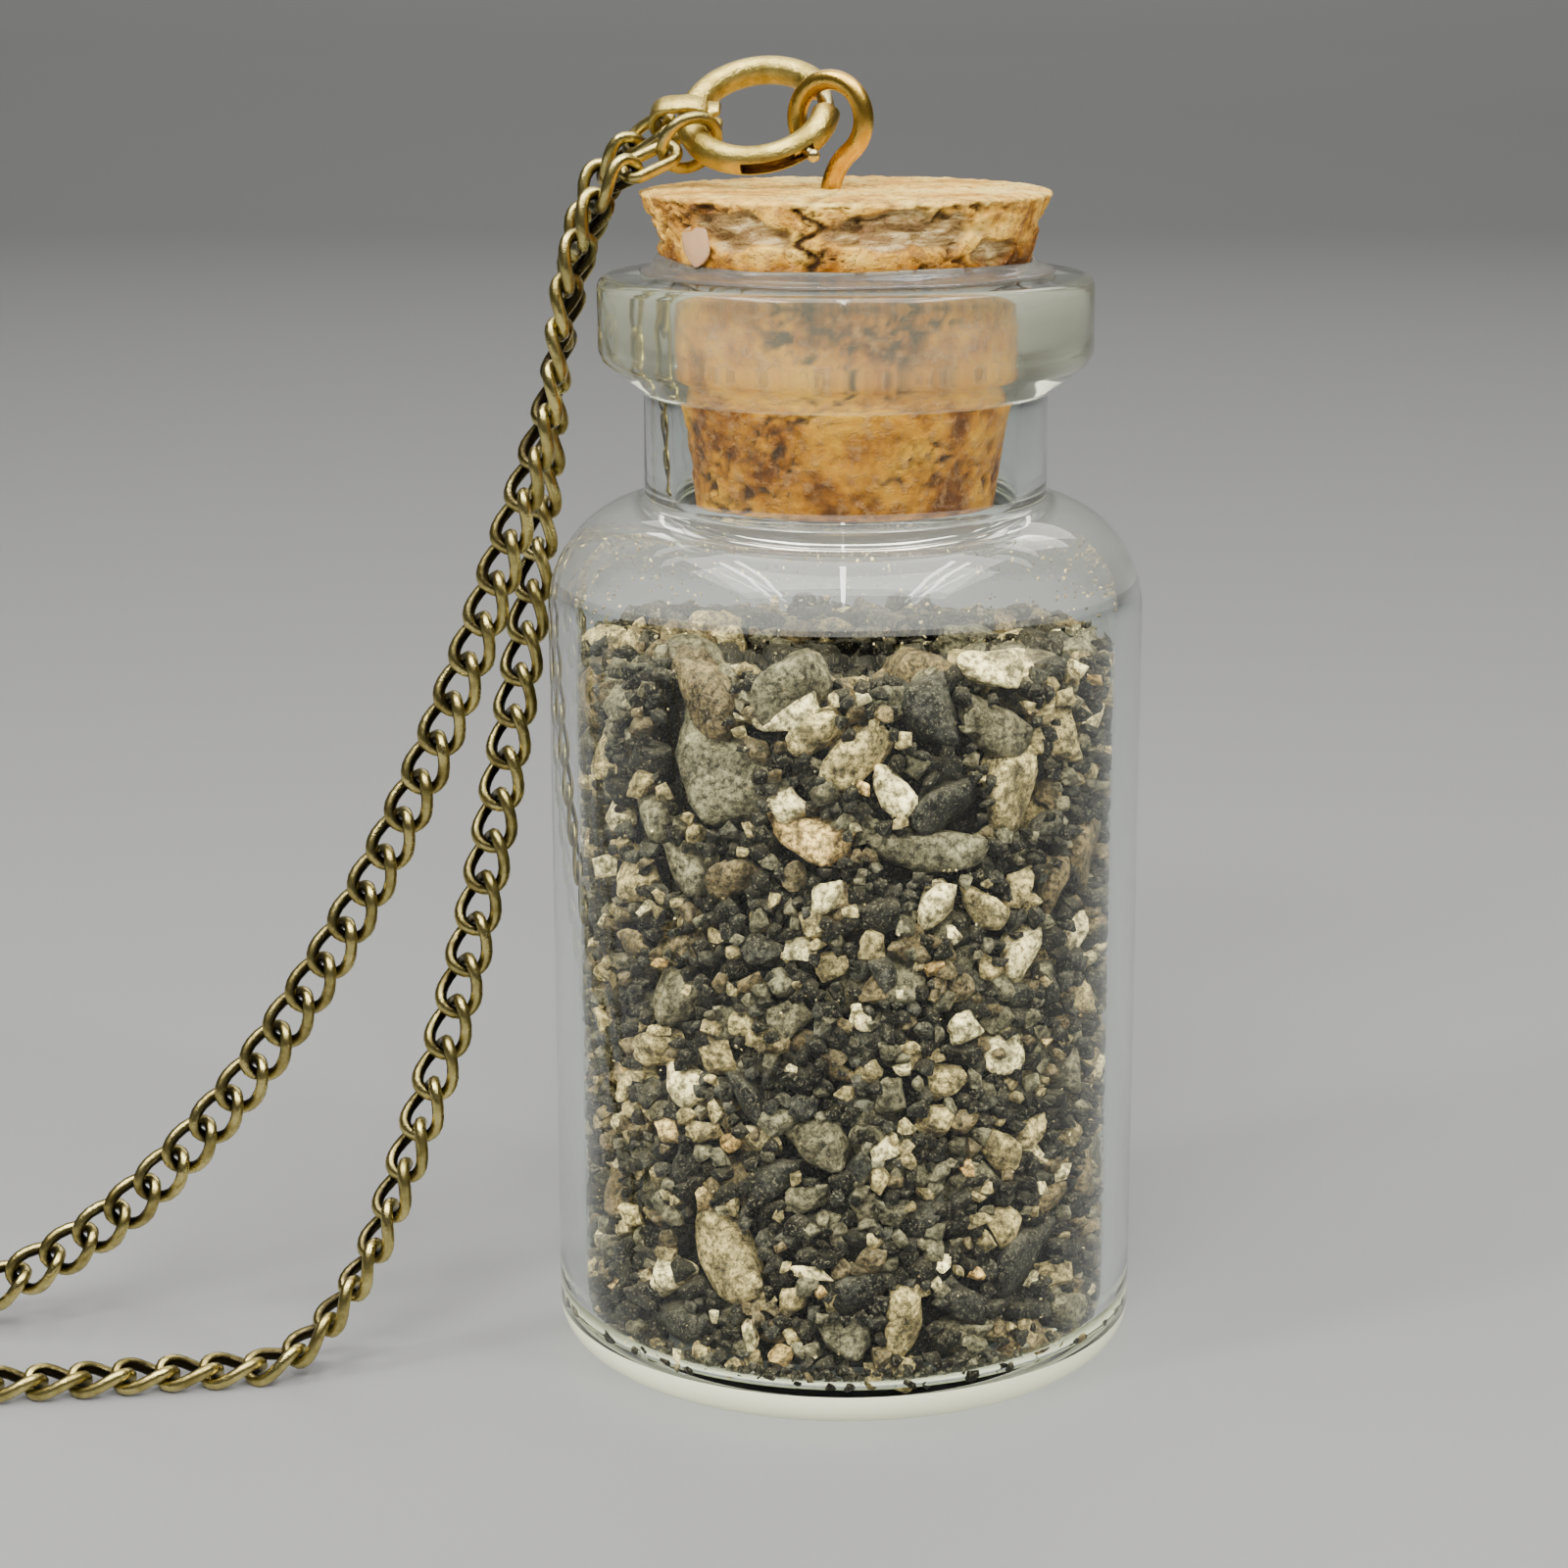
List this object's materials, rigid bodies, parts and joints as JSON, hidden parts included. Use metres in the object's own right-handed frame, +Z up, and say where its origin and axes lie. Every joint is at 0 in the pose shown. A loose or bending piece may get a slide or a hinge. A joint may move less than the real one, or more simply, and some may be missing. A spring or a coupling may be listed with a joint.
{
  "type": "bottle pendant on a chain",
  "caption": "Small corked glass bottle filled with gravel, hung by a screw eye and spring-ring clasp on a bronze curb chain necklace.",
  "frame": {"origin": "centre of the bottle's flat base, on the surface that it stands on", "axes": "+Z up along the bottle's axis, -Y towards the picture's camera, the chain leaves towards -X"},
  "size_m": [0.1711, 0.0962, 0.0482],
  "materials": {
    "glass": "clear soda glass, faint green at the edges",
    "gravel": "natural rough stones, black, grey, tan and cream",
    "cork": "natural bark cork, matte, with pores and cracks",
    "glue": "clear glossy glue",
    "gold_brass": "bright yellow brass, satin",
    "antique_brass": "matte antique brass, fine grain",
    "bronze": "olive antique bronze, dark in the recesses"
  },
  "bodies": {
    "pendant": {"bottle": "glass", "gravel": "gravel", "pebbles": "gravel", "cork": "cork", "glue_bead": "glue", "eye_screw": "gold_brass", "clasp_ring": "antique_brass", "clasp_tab": "antique_brass", "end_ring": "bronze", "end_link_tab": "bronze", "end_link_ring": "bronze", "chain": "bronze"},
    "bolt": {"clasp_bolt": "antique_brass"}
  },
  "joints": [
    {"name": "bolt_slide", "type": "hinge", "parent": "pendant", "child": "bolt", "pos_m": [-0.00317, 0.00065, 0.04614], "axis": [-0.128, -0.6022, 0.788], "range_deg": [-45, 0], "stiffness_Nm_per_rad": 0.005, "springref_deg": 5.73}
  ]
}
